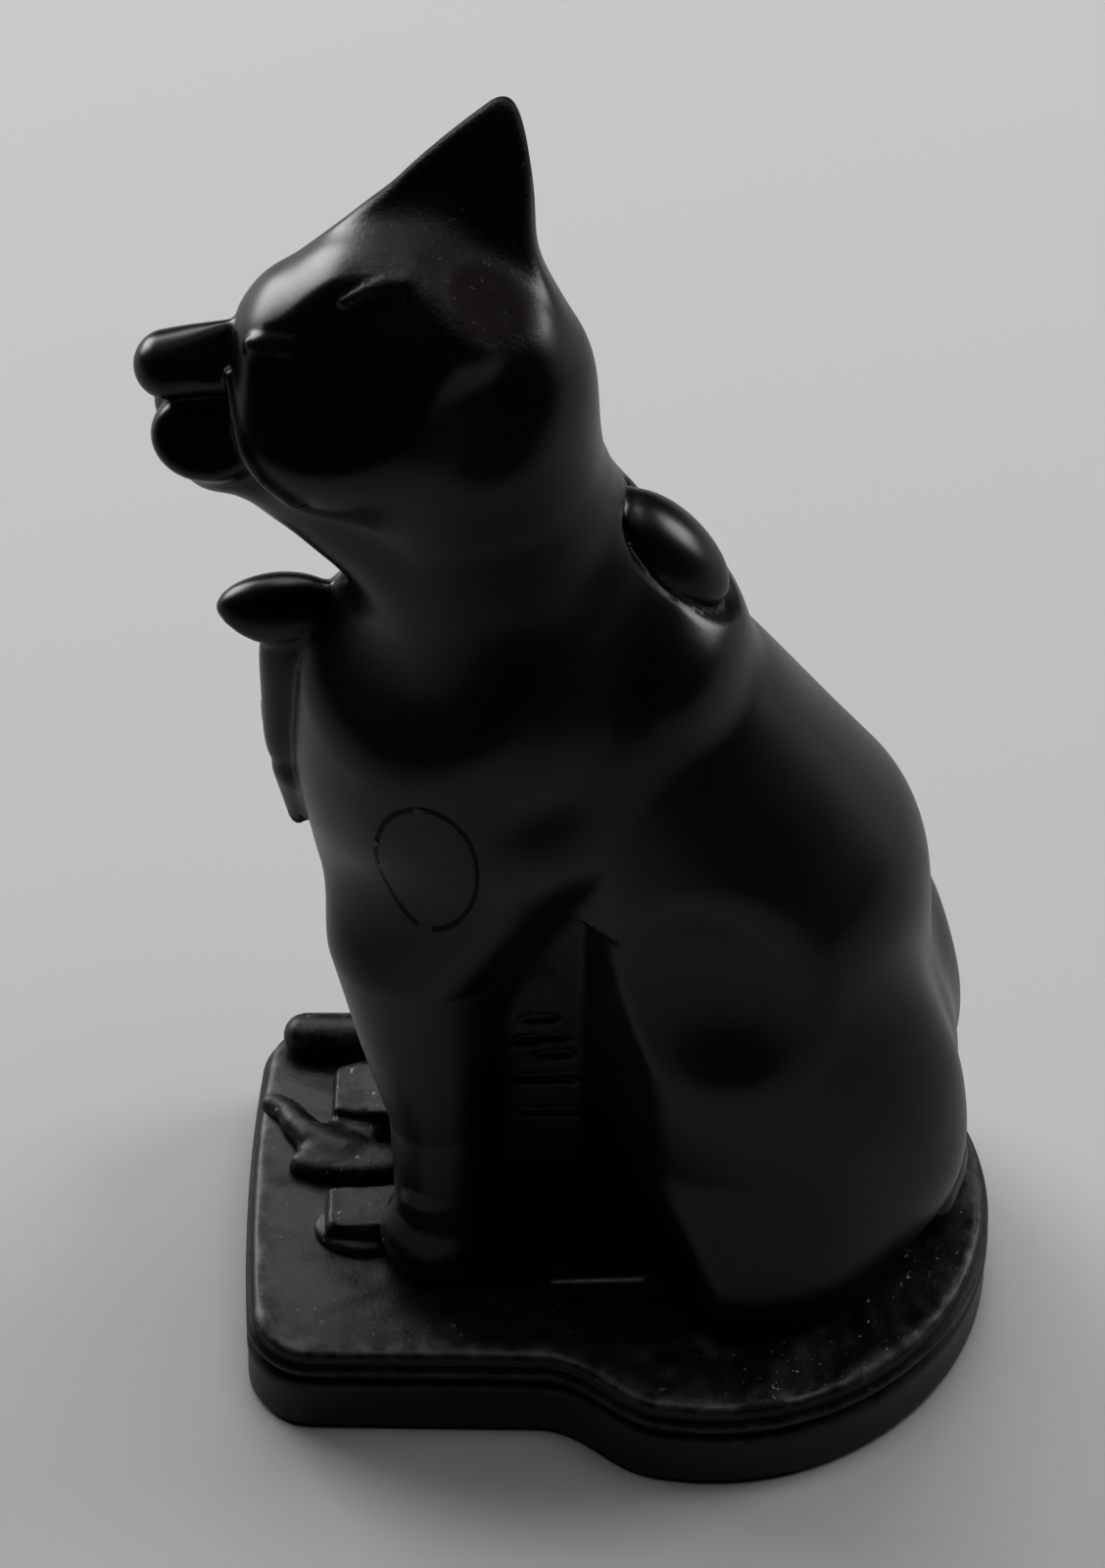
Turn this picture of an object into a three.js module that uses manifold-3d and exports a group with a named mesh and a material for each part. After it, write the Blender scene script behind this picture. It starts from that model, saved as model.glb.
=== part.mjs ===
// A small seated cat with its plinth, cast in one piece in black filled resin, after an Egyptian bronze type.
// Millimetres. +Z is up, the cat faces -X and its left side is towards -Y.
// The origin is the middle of the underside.
import * as THREE from 'three';
import { mergeVertices } from 'three/addons/utils/BufferGeometryUtils.js';
import Module from 'manifold-3d';

const wasm = await Module();
wasm.setup();
const { lerp, smoothstep, clamp, degToRad } = THREE.MathUtils;

// Driving dimensions of the cat
const figureHeight = 138.6; // from the plinth's top to the tip of the ear
const footStep = 3; // facet size at the paws
const bodyStep = 4; // facet size on the body
const headStep = 2.05; // facet size on the head
const castDepth = 1.2; // how far the cat's foot reaches down into the plinth
const tailRootRadius = 3.2;
const tailTipRadius = 2.3;
const tailSteps = 20; // facets along the tail
const tailSides = 10; // facets round the tail and the ridge
const ridgeSteps = 8; // facets along the ridge between the paws

// Driving dimensions of the plinth, a keyhole in plan: a round back and a narrower square front
const plinthHeight = 11.4;
const plinthLength = 76.4;
const plinthFrontWidth = 45.8;
const plinthRearRadius = 29.2;
const plinthCornerRadius = 7;
const plinthFrontBow = 0.7; // how far the middle of the front edge stands out
const waistLength = 12; // length of the S curve between the front's side and the round back
const waistAngle = 11; // degrees that the round back reaches past its middle before the waist

// The moulding along the plinth's top edge
const footRound = 0.8;
const wallHeight = 7.4;
const grooveDepth = 0.8;
const grooveWidth = 1.2;
const beadWidth = 1.1;
const topRound = 1.3;

// The cat's own unit: one millimetre of the cat at its real height, so that its forms keep their proportions
const unit = figureHeight / 138.6;

// The middle line of the tail, which leaves the rump at the back and lies round the cat's right side.
// Its points are in the cat's own units, like those of the forms below.
const tailLine = [
  [31, -3, 3],
  [31.5, 8, 2.8],
  [25.5, 17.5, 2.5],
  [12, 22.3, 2.3],
  [-6, 20.8, 2.2],
  [-20, 18.6, 2],
  [-33.5, 18.4, 1.8],
];

// The low ridge on the plinth that runs out between the forepaws to the cat's right
const ridgeLine = [[-36.6, 9.8, 0.2], [-34.4, 7, 0.4], [-32, 4, 0.5], [-27, 2, 0.5], [-20, 2.4, 0.5]];
const ridgeRadii = [1.3, 2.1];

// The recessed panel at each side, between the foreleg and the haunch. Its floor leans in towards the bottom.
// Each end gives the panel's edges and where its walls come out, as x to the back and y aside.
const recessBottom = { z: -1.5, panel: [[-14.6, 4.8], [-4.5, 4.8]], mouth: [[-14.6, 22], [11.5, 22]] };
const recessTop = { z: 57, panel: [[-9.6, 11.8], [-4.8, 11.8]], mouth: [[-9.6, 22], [4.7, 22]] };
const strokeHeights = [37.7, 34.2, 31.6, 27.3, 21.3]; // short level strokes on the panel, not letters
const strokeLengths = [4.1, 6.5, 3.9, 8.8, 7.3];
const strokeMiddles = [-8.9, -9.1, -7.2, -8.9, -7.5];
const strokeDepth = 0.7;
const strokeWidth = 1.3;

// The hind feet lie in the recesses, level and thinner towards the toes.
const hindFootLine = [[8, 13.4, 1.7], [-7.5, 13.4, 1]];
const hindFootRadii = [3.4, 2.6];

// The forepaws are blocks, each with its low corner, its high corner, and a thinner slab under its toes.
const pawBlocks = [
  { low: [-30.4, -8.3, -1], high: [-20, -2.5, 3.1] },
  { low: [-30.2, 6.7, -1], high: [-20, 12.3, 3.1] },
  { low: [-31.4, -9.2, -1], high: [-22, -5, 0.9] },
  { low: [-30.6, 4.4, -1], high: [-25, 8, 1.5] },
];

// Each form of the cat in its own units, x to the back, y to its right, z up from the plinth's top.
// A form joins the ones before it, or is cut from them, with a fillet of the size in blend.
// side: both means the form and its mirror image, near the cat's left side alone, mid as written.
const common = { blend: 1, side: 'mid', cut: false };

// An ellipsoid with a middle, three half lengths and the degrees that its top leans forward.
// With square over 2 it is still round from above, and its top and bottom are flatter with rounded rims.
const egg = (name, at, half, more) => {
  return { ...common, shape: eggDistance, name, at, half, lean: 0, square: 2, ...more };
};

// A rounded bar between two points, with a radius at each.
const limb = (name, from, to, radii, more) => {
  return { ...common, shape: limbDistance, name, from, to, radii, ...more };
};

// A flat cut that takes away all that lies beyond a plane through a point, on the side that it faces.
const flat = (name, at, facing, more) => {
  return { ...common, shape: flatDistance, name, at, facing, cut: true, ...more };
};

// Forms that are joined and cut among themselves first.
const group = (name, forms, more) => ({ ...common, shape: groupDistance, name, forms, ...more });

const both = { side: 'both' };
const elbow = [-20.4, 7.8, 49];
const forearm = [-19.5, 8.3, 36.5];
const shin = [-18.4, 8.7, 23.5];
const paw = [-18.2, 8.7, 1.6];

const trunk = [
  egg('rump', [13, 0, 20.6], [20.3, 17.5, 27], { blend: 0 }),
  limb('back', [10, 0, 48.6], [-2.4, 0, 75], [18.7, 13.4], { blend: 9 }),
  egg('chest', [-17.5, 0, 60.6], [13.6, 13, 27], { lean: 6, blend: 8 }),
  limb('neck', [-10.5, 0, 80.6], [-14.6, 0, 101], [14, 11.3], { blend: 5 }),
  egg('haunch', [13.5, 8, 31.6], [17.8, 11, 32], { ...both, lean: 22, blend: 2 }),
  egg('hip', [12, 9.5, 7], [15, 11, 16], { ...both, blend: 4 }),
  egg('seat', [15.5, 0, 6], [17.5, 13, 15], { blend: 4 }),
  egg('web between the legs', [-5, 0, 26.6], [14, 10.5, 38], { blend: 1.2 }),
  egg('dimple of the haunch', [8.5, 20.7, 40.5], [8.5, 3.4, 6.5], { ...both, blend: 2, cut: true }),
];

const drum = [
  egg('shoulders and chest', [-15.5, 0, 75], [15, 16.2, 15.6], { lean: 2, square: 3.4 }),
  flat('collar', [-26.3, 12, 79], [-0.5, 0.55, 0.67], { ...both, blend: 2 }),
];
const legs = [
  group('shoulders', drum, { blend: 2.5 }),
  limb('withers', [-6.5, 0, 89.6], [0.8, 0, 81.6], [9, 9], { blend: 3 }),
  limb('shoulder blade', [0.5, 3.6, 80.4], [-9.5, 8.2, 67.5], [8.6, 8.4], { ...both, blend: 1.6 }),
  limb('upper arm', [-9.5, 8.2, 67.5], elbow, [8.4, 8.8], { ...both, blend: 3 }),
  limb('elbow', elbow, forearm, [8.8, 7.2], both),
  limb('forearm', forearm, shin, [7.2, 5], both),
  limb('lower foreleg', shin, paw, [5, 4.6], both),
  egg('wrist', [-19, 9.2, 4.5], [5.6, 5, 6], { ...both, blend: 0.8 }),
];

const face = [
  egg('skull', [-20.2, 0, 112.8], [16, 12, 12.5], { lean: -8 }),
  egg('cheek', [-26, 4.6, 110.6], [10.5, 6.8, 7.6], { ...both, blend: 3 }),
  limb('forehead', [-25.8, 0, 114.3], [-21.5, 0, 117.4], [10.7, 10.8]),
  limb('crown', [-21.5, 0, 117.4], [-15, 0, 116.4], [10.8, 8.4]),
  limb('ear root', [-21.5, 4.4, 124], [-16, 6.5, 121.6], [2.6, 3.2], { ...both, blend: 2.5 }),
  flat('temple', [-26.5, 4.1, 126], [-0.3, 0.83, 0.47], { ...both, blend: 0.5 }),
  flat('front of the cheek', [-35.9, 4, 117], [-1, 0.1, 0], { ...both, blend: 0.9 }),
  flat('front of the jaw', [-34.8, 6.7, 108.5], [-0.81, 0.1, -0.57], { ...both, blend: 0.9 }),
];
const nose = [
  limb('bridge', [-32, 0, 115.8], [-41.5, 0, 113.7], [4, 3.1]),
  flat('side of the nose', [-38, 1.9, 116.9], [-0.06, 0.74, 0.67], { ...both, blend: 0.5 }),
];
const ear = [
  egg('thickness of the ear', [-15, 6.5, 121], [13, 3.1, 18.6]),
  flat('front edge', [-19.2, 6.5, 131.2], [-0.78, 0, 0.62], { blend: 2 }),
  flat('rear edge', [-10.2, 6.5, 128], [1, 0, 0.04], { blend: 2 }),
  flat('tip', [-12.6, 6.5, 138.4], [0.1, 0, 1], { blend: 2.4 }),
  egg('ear hollow', [-18.5, 11.3, 127.6], [4.5, 3.4, 8], { lean: -14, cut: true }),
];
const head = [
  group('head', face, { blend: 5 }),
  limb('throat', [-28, 0, 102.6], [-15.2, 0, 91], [6.8, 8.6], { blend: 3 }),
  limb('jaw', [-36.6, 0, 104.8], [-28, 0, 103.4], [4.3, 6.5], { blend: 1.5 }),
  limb('muzzle', [-31, 0, 108.8], [-38, 0, 108.2], [6.4, 4.3], { blend: 0.8 }),
  egg('whisker pad', [-37.9, 2.3, 107.4], [5.2, 3.9, 3.7], both),
  egg('chin', [-37.6, 0, 104.4], [3.7, 4.2, 4]),
  group('nose', nose, { blend: 0.6 }),
  group('right ear', ear, { blend: 2 }),
  limb('hollow of the left ear', [-18.5, 8.5, 126.3], [-16, 12.8, 118.7], [2.7, 2.7],
    { side: 'near', cut: true }),
  limb('broken edge of the left ear', [-17.4, 4, 124.6], [-12.8, 8.2, 119.2], [1.3, 1.6], { side: 'near' }),
];

// The last few millimetres of the right ear, which are thinner than the facets of the head
const earTip = egg('tip of the ear', [-12.4, 6.5, 133.5], [2, 1.7, 5.1]);

// The ornaments: a beetle in a groove between the shoulders, and an amulet on the chest, which is a hood that
// stands out, a body below it and a drop.
const beetleGroove = egg('groove', [3, 0, 92], [8.8, 5.4, 1.3], { lean: -47 });
const beetle = egg('beetle', [2.2, 0, 92.4], [7.6, 4.1, 3.7], { lean: -47 });
const amulet = [
  egg('hood', [-32.7, 0, 84.2], [6.1, 2.9, 3], { lean: 5 }),
  egg('body', [-31.4, 0, 73], [3.5, 2.7, 9.6], { square: 4 }),
  egg('drop', [-31.3, 0, 61.8], [3.1, 2.9, 5.8]),
];

// Distance to an ellipsoid: the scaled length less one, over its slope, which near zero is the true distance.
// The scaled length is the p-th root of r to the p plus h to the p, where r is the length across and h the
// length upwards, each divided by the half length.
function eggDistance(x, y, z, form) {
  const lean = degToRad(form.lean);
  const p = form.square;
  const [a, b, c] = form.half;
  const dx = x - form.at[0];
  const dy = y - form.at[1];
  const dz = z - form.at[2];
  const ahead = dx * Math.cos(lean) + dz * Math.sin(lean);
  const above = dz * Math.cos(lean) - dx * Math.sin(lean);
  const across = Math.hypot(ahead / a, dy / b) + 1e-9;
  const up = Math.abs(above / c) + 1e-9;
  const scaled = (across ** p + up ** p) ** (1 / p);
  const slopeAcross = ((across / scaled) ** (p - 1) * Math.hypot(ahead / a ** 2, dy / b ** 2)) / across;
  const slopeUp = (up / scaled) ** (p - 1) / c;
  return (scaled - 1) / Math.max(Math.hypot(slopeAcross, slopeUp), 1e-9);
}

// Distance to a rounded bar: two balls and the cone that touches both.
// s runs along the middle line, r is the distance from that line and along is the place on the cone.
function limbDistance(x, y, z, form) {
  const a = [x - form.from[0], y - form.from[1], z - form.from[2]];
  const b = form.to.map((value, i) => value - form.from[i]);
  const length = Math.hypot(...b);
  const s = (a[0] * b[0] + a[1] * b[1] + a[2] * b[2]) / length;
  const r = Math.sqrt(Math.max(a[0] ** 2 + a[1] ** 2 + a[2] ** 2 - s ** 2, 0));
  const [first, last] = form.radii;
  const slope = (first - last) / length;
  const rise = Math.sqrt(1 - slope ** 2);
  const along = s * rise - r * slope;
  if (along < 0) return Math.hypot(s, r) - first;
  if (along > length * rise) return Math.hypot(s - length, r) - last;
  return r * rise + s * slope - first;
}

// The smaller of two distances, rounded off over the width of the fillet.
function smoothMin(a, b, blend) {
  if (blend <= 0) return Math.min(a, b);
  const h = clamp(0.5 + (0.5 * (b - a)) / blend, 0, 1);
  return b + (a - b) * h - blend * h * (1 - h);
}

// Distance to a plane: negative beyond it, on the side that it faces.
function flatDistance(x, y, z, form) {
  const [a, b, c] = form.facing;
  return -((x - form.at[0]) * a + (y - form.at[1]) * b + (z - form.at[2]) * c) / Math.hypot(a, b, c);
}

// The forms joined and cut in turn.
function groupDistance(x, y, z, { forms }) {
  let distance = 1e3;
  for (const form of forms) {
    const aside = { both: Math.abs(y), near: -y, mid: y }[form.side];
    const shape = form.shape(x, aside, z, form);
    if (form.cut) distance = -smoothMin(-distance, shape, form.blend);
    else distance = smoothMin(distance, shape, form.blend);
  }
  return distance;
}

// The cat as a field in its own units: negative inside, and cut off flat below the plinth's top.
const cat = group('cat', [...trunk, ...legs, ...head]);
const catField = (x, y, z) => Math.max(groupDistance(x, y, z, cat), -castDepth / unit - z);

// A lattice round the cat that leans and tapers with it, so that its facets are finer at the head.
// Its heights are in the cat's own units, and it counts in steps from its middle line.
const latticeTop = 143;
const latticeBottom = -castDepth / unit - 1.6 * footStep;
const stepsAhead = 18;
const stepsBehind = 16;
const stepsAside = 12;
const offMiddle = 0.37; // keeps lattice points off the plane through the cat's middle
const legsAt = [8, 30]; // heights between which the facets grow from the paws' size to the body's
const neckAt = [70, 98]; // heights between which they shrink to the head's size
const leanAt = [30, 100]; // heights between which the lattice leans forward
const leanReach = 22; // how far it leans forward in all
function stepAt(z) {
  const below = lerp(footStep, bodyStep, smoothstep(z, ...legsAt));
  return lerp(below, headStep, smoothstep(z, ...neckAt));
}
const latticeMiddle = (z) => -leanReach * smoothstep(z, ...leanAt);
const levels = [latticeBottom];
for (let z = latticeBottom; z < latticeTop; levels.push(z)) z += stepAt(z);
const lattice = {
  counts: [stepsAhead + stepsBehind, 2 * stepsAside, levels.length],
  place(i, j, k) {
    const low = Math.min(Math.floor(k), levels.length - 2);
    const z = lerp(levels[low], levels[low + 1], k - low);
    const step = stepAt(z);
    return [latticeMiddle(z) + (i - stepsAhead) * step, (j - stepsAside + offMiddle) * step, z];
  },
};

// Where the corners of a lattice face alternate between inside and outside, the surface would touch itself,
// so the outer corner that is nearest to it is filled in.
function fillTouching(values, [nx, ny, nz], at) {
  const faces = [[1, nx], [1, nx * ny], [nx, nx * ny]];
  let filled = 0;
  for (let k = 0; k < nz - 1; k++)
    for (let j = 0; j < ny - 1; j++)
      for (let i = 0; i < nx - 1; i++)
        for (const [p, q] of faces) {
          const a = at(i, j, k);
          const inside = [a, a + p, a + p + q, a + q].map((corner) => values[corner] < 0);
          if (inside[0] !== inside[2] || inside[1] !== inside[3] || inside[0] === inside[1]) continue;
          const outer = inside[0] ? [a + p, a + q] : [a, a + p + q];
          const nearest = values[outer[0]] < values[outer[1]] ? outer[0] : outer[1];
          values[nearest] = -0.01;
          filled++;
        }
  return filled;
}

// The closed surface where a field is zero, with one vertex in each lattice cell that the surface crosses.
// Each vertex is the mean of the cell's edge crossings, and then slides onto the surface.
function surfaceOf(field, grid) {
  const [nx, ny, nz] = grid.counts;
  const at = (i, j, k) => (k * ny + j) * nx + i;
  const values = new Float64Array(nx * ny * nz);
  for (let k = 0; k < nz; k++)
    for (let j = 0; j < ny; j++)
      for (let i = 0; i < nx; i++) values[at(i, j, k)] = field(...grid.place(i, j, k));
  while (fillTouching(values, grid.counts, at));
  const corners = [0, 1, 2, 3, 4, 5, 6, 7].map((c) => [c & 1, (c >> 1) & 1, c >> 2]);
  const edges = corners.flatMap((_, a) => [1, 2, 4].filter((bit) => !(a & bit)).map((bit) => [a, a | bit]));
  const vertexOf = new Map();
  const positions = [];
  for (let k = 0; k < nz - 1; k++)
    for (let j = 0; j < ny - 1; j++)
      for (let i = 0; i < nx - 1; i++) {
        const v = corners.map(([di, dj, dk]) => values[at(i + di, j + dj, k + dk)]);
        const crossed = edges.filter(([a, b]) => v[a] < 0 !== v[b] < 0);
        if (!crossed.length) continue;
        const mean = [0, 0, 0];
        for (const [a, b] of crossed) {
          const t = v[a] / (v[a] - v[b]);
          for (let axis = 0; axis < 3; axis++)
            mean[axis] += lerp(corners[a][axis], corners[b][axis], t) / crossed.length;
        }
        vertexOf.set(at(i, j, k), positions.length / 3);
        positions.push(...slideOn(field, grid.place(i + mean[0], j + mean[1], k + mean[2])));
      }
  const index = [];
  const directions = [
    [[1, 0, 0], [0, 1, 0], [0, 0, 1]],
    [[0, 1, 0], [0, 0, 1], [1, 0, 0]],
    [[0, 0, 1], [1, 0, 0], [0, 1, 0]],
  ];
  for (let k = 1; k < nz - 1; k++)
    for (let j = 1; j < ny - 1; j++)
      for (let i = 1; i < nx - 1; i++)
        for (const [d, p, q] of directions) {
          const inside = values[at(i, j, k)] < 0;
          if (inside === values[at(i + d[0], j + d[1], k + d[2])] < 0) continue;
          const cell = (a, b) =>
            vertexOf.get(at(i - a * p[0] - b * q[0], j - a * p[1] - b * q[1], k - a * p[2] - b * q[2]));
          const quad = [cell(1, 1), cell(0, 1), cell(0, 0), cell(1, 0)];
          if (!inside) quad.reverse();
          index.push(quad[0], quad[1], quad[2], quad[0], quad[2], quad[3]);
        }
  const geometry = new THREE.BufferGeometry();
  geometry.setAttribute('position', new THREE.Float32BufferAttribute(positions, 3));
  geometry.setIndex(index);
  return geometry;
}

// Moves a point along the field's slope by the field's value there, by no more than a third of a facet.
function slideOn(field, start) {
  const reachStep = 0.05;
  let p = start;
  for (let pass = 0; pass < 2; pass++) {
    const value = field(...p);
    const slope = [0, 1, 2].map((axis) => {
      const q = [...p];
      q[axis] += reachStep;
      return (field(...q) - value) / reachStep;
    });
    const steepness = Math.max(Math.hypot(...slope), 0.3);
    const move = clamp(value / steepness, -headStep / 3, headStep / 3);
    p = p.map((coordinate, axis) => coordinate - (slope[axis] / steepness) * move);
  }
  return p;
}

// The plinth's outline from the front's far corner round the near side, the back and the far side.
// Each stretch is a curve with its number of facets.
function plinthOutline() {
  const end = plinthLength / 2;
  const side = plinthFrontWidth / 2;
  const corner = { x: plinthCornerRadius - end, y: side - plinthCornerRadius };
  const rearCentre = end - plinthRearRadius;
  const angle = degToRad(waistAngle);
  const meet = { x: rearCentre - plinthRearRadius * Math.sin(angle), y: plinthRearRadius * Math.cos(angle) };
  const waistStart = meet.x - waistLength;
  const pull = waistLength * 0.42;
  const at = (x, y) => new THREE.Vector2(x, y);
  const arc = (x, y, radius, from, to) => new THREE.EllipseCurve(x, y, radius, radius, from, to);
  const quarter = Math.PI / 2;
  const waist = (way) => [
    at(waistStart, way * side),
    at(waistStart + pull, way * side),
    at(meet.x - pull * Math.cos(angle), way * (meet.y - pull * Math.sin(angle))),
    at(meet.x, way * meet.y),
  ];
  const front = [at(-end, corner.y), at(-end - 2 * plinthFrontBow, 0), at(-end, -corner.y)];
  const stretches = [
    [new THREE.QuadraticBezierCurve(...front), 6],
    [arc(corner.x, -corner.y, plinthCornerRadius, 2 * quarter, 3 * quarter), 7],
    [new THREE.LineCurve(at(corner.x, -side), at(waistStart, -side)), 2],
    [new THREE.CubicBezierCurve(...waist(-1)), 8],
    [arc(rearCentre, 0, plinthRearRadius, -quarter - angle, quarter + angle), 34],
    [new THREE.CubicBezierCurve(...waist(1).reverse()), 8],
    [new THREE.LineCurve(at(waistStart, side), at(corner.x, side)), 2],
    [arc(corner.x, corner.y, plinthCornerRadius, quarter, 2 * quarter), 7],
  ];
  return stretches.flatMap(([curve, facets]) => curve.getPoints(facets).slice(0, -1));
}

// The plinth's moulding as rows from the underside to the top: how far each is set in, and its height.
function plinthRows() {
  const grooveLow = wallHeight + grooveWidth / 2;
  const beadLow = wallHeight + grooveWidth;
  const beadTop = beadLow + beadWidth;
  const grooveHigh = (beadTop + plinthHeight) / 2 - topRound / 4;
  return [
    [footRound, 0],
    [0, footRound],
    [0, wallHeight],
    [grooveDepth, grooveLow],
    [grooveDepth / 5, beadLow],
    [grooveDepth / 5, beadTop],
    [grooveDepth, grooveHigh],
    [grooveDepth, plinthHeight - topRound / 2],
    [grooveDepth + topRound, plinthHeight],
  ];
}

// The plinth is its outline carried up the rows, each set in along the outline's normals, and closed.
function plinthGeometry() {
  const outline = plinthOutline();
  const n = outline.length;
  const inward = outline.map((_, i) => {
    const before = outline[(i + n - 1) % n];
    const after = outline[(i + 1) % n];
    return new THREE.Vector2(before.y - after.y, after.x - before.x).normalize();
  });
  const rows = plinthRows();
  const positions = rows.flatMap(([inset, z]) =>
    outline.flatMap((point, i) => [point.x + inward[i].x * inset, point.y + inward[i].y * inset, z]),
  );
  const index = [];
  for (let row = 0; row < rows.length - 1; row++)
    for (let i = 0; i < n; i++) {
      const [a, b] = [row * n + i, row * n + ((i + 1) % n)];
      index.push(a, b, b + n, a, b + n, a + n);
    }
  const cap = THREE.ShapeUtils.triangulateShape(outline, []);
  const topRow = (rows.length - 1) * n;
  for (const [a, b, c] of cap) index.push(c, b, a, topRow + a, topRow + b, topRow + c);
  const geometry = new THREE.BufferGeometry();
  geometry.setAttribute('position', new THREE.Float32BufferAttribute(positions, 3));
  geometry.setIndex(index);
  return geometry;
}

function solidOf(geometry) {
  const plain = geometry.clone();
  plain.deleteAttribute('normal');
  plain.deleteAttribute('uv');
  const merged = mergeVertices(plain, 1e-4);
  return new wasm.Manifold(new wasm.Mesh({
    numProp: 3,
    vertProperties: new Float32Array(merged.getAttribute('position').array),
    triVerts: new Uint32Array(merged.getIndex().array),
  }));
}

function geometryOf(solid) {
  const mesh = solid.getMesh();
  const geometry = new THREE.BufferGeometry();
  geometry.setAttribute('position', new THREE.BufferAttribute(new Float32Array(mesh.vertProperties), 3));
  geometry.setIndex(new THREE.BufferAttribute(new Uint32Array(mesh.triVerts), 1));
  geometry.computeVertexNormals();
  return geometry;
}

// The solid form of an egg: a unit ball whose points are moved out to its scaled length, then sized, leaned
// and put in place.
function eggGeometry({ at, half, lean, square }, around = 12, down = 8) {
  const geometry = new THREE.SphereGeometry(1, around, down);
  const places = geometry.getAttribute('position');
  for (let i = 0; i < places.count; i++) {
    const point = new THREE.Vector3().fromBufferAttribute(places, i);
    const across = Math.hypot(point.x, point.z) ** square;
    point.divideScalar((across + Math.abs(point.y) ** square) ** (1 / square));
    places.setXYZ(i, point.x, point.z, -point.y);
  }
  geometry.scale(...half);
  geometry.rotateY(-degToRad(lean));
  geometry.translate(...at);
  return geometry;
}

// A box between two corners.
function blockGeometry(low, high) {
  const size = high.map((value, axis) => value - low[axis]);
  const geometry = new THREE.BoxGeometry(...size);
  geometry.translate(...low.map((value, axis) => value + size[axis] / 2));
  return geometry;
}

// The recess at one side, with way 1 for the cat's right and -1 for its left: a block whose eight corners are
// moved to the two ends of the recess.
function recessGeometry(way) {
  const geometry = new THREE.BoxGeometry(2, 2, 2);
  const places = geometry.getAttribute('position');
  for (let i = 0; i < places.count; i++) {
    const end = places.getZ(i) > 0 ? recessTop : recessBottom;
    const outer = places.getY(i) * way > 0;
    const [x, aside] = (outer ? end.mouth : end.panel)[places.getX(i) > 0 ? 1 : 0];
    places.setXYZ(i, x, way * aside, end.z);
  }
  return geometry;
}

// The strokes on the panel at one side, each a block that reaches in past the panel by its depth.
function strokeGeometries(way) {
  return strokeHeights.map((z, i) => {
    const share = (z - recessBottom.z) / (recessTop.z - recessBottom.z);
    const panel = way * lerp(recessBottom.panel[0][1], recessTop.panel[0][1], share);
    const geometry = new THREE.BoxGeometry(strokeLengths[i], 2 * strokeDepth, strokeWidth);
    return geometry.translate(strokeMiddles[i], panel, z);
  });
}

// A level bar along a curve: rings of points across it, and a half ball in three steps at either end.
function taperedBar(curve, [first, last], steps, sides) {
  const length = curve.getLength();
  const [begin, end] = [first / length, 1 - last / length];
  const turns = [0, 30, 60].map(degToRad);
  const rings = turns.map((turn) => [begin * (1 - Math.cos(turn)), Math.sin(turn)]);
  for (let step = 0; step <= steps; step++) rings.push([lerp(begin, end, step / steps), 1]);
  for (const turn of turns.reverse()) rings.push([lerp(1, end, 1 - Math.cos(turn)), Math.sin(turn)]);
  const positions = rings.flatMap(([t, share]) => {
    const radius = share * lerp(first, last, t);
    const middle = curve.getPointAt(t);
    const tangent = curve.getTangentAt(t);
    const aside = new THREE.Vector3(-tangent.y, tangent.x, 0).normalize();
    const above = new THREE.Vector3().crossVectors(tangent, aside);
    return Array.from({ length: sides }, (_, side) => {
      const angle = (side / sides) * 2 * Math.PI;
      const across = radius * Math.cos(angle);
      const up = radius * Math.sin(angle);
      return middle.clone().addScaledVector(aside, across).addScaledVector(above, up).toArray();
    }).flat();
  });
  const index = [];
  for (let row = 0; row < rings.length - 1; row++)
    for (let side = 0; side < sides; side++) {
      const [a, b] = [row * sides + side, row * sides + ((side + 1) % sides)];
      if (row > 0) index.push(a, b, b + sides);
      if (row < rings.length - 2) index.push(a, b + sides, a + sides);
    }
  const geometry = new THREE.BufferGeometry();
  geometry.setAttribute('position', new THREE.Float32BufferAttribute(positions, 3));
  geometry.setIndex(index);
  return geometry;
}

// The cat stands on the plinth, wears its ornaments and is one casting with them all.
function catFigure() {
  const placed = (geometry) => {
    geometry.scale(unit, unit, unit);
    geometry.translate(0, 0, plinthHeight);
    return solidOf(geometry);
  };
  const curveOf = (line) => new THREE.CatmullRomCurve3(line.map((point) => new THREE.Vector3(...point)));
  const cuts = [1, -1].flatMap((way) => [recessGeometry(way), ...strokeGeometries(way)]);
  const additions = [
    taperedBar(curveOf(tailLine), [tailRootRadius, tailTipRadius], tailSteps, tailSides),
    taperedBar(curveOf(ridgeLine), ridgeRadii, ridgeSteps, tailSides),
    ...[1, -1].map((way) => {
      const line = hindFootLine.map(([x, aside, z]) => new THREE.Vector3(x, way * aside, z));
      return taperedBar(new THREE.LineCurve3(...line), hindFootRadii, 1, tailSides);
    }),
    ...pawBlocks.map(({ low, high }) => blockGeometry(low, high)),
    ...[earTip, beetle, ...amulet].map((form) => eggGeometry(form)),
  ];
  let figure = placed(surfaceOf(catField, lattice));
  for (const geometry of [eggGeometry(beetleGroove), ...cuts]) figure = figure.subtract(placed(geometry));
  for (const geometry of additions) figure = figure.add(placed(geometry));
  return geometryOf(solidOf(plinthGeometry()).add(figure));
}

const blackResin = new THREE.MeshStandardMaterial({ color: 0x191a1c, roughness: 0.36, metalness: 0 });
blackResin.name = 'black_resin';
const figure = new THREE.Mesh(catFigure(), blackResin);
figure.name = 'cat_figure';

const model = new THREE.Group();
model.name = 'seated_cat';
model.add(figure);

export default model;
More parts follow.
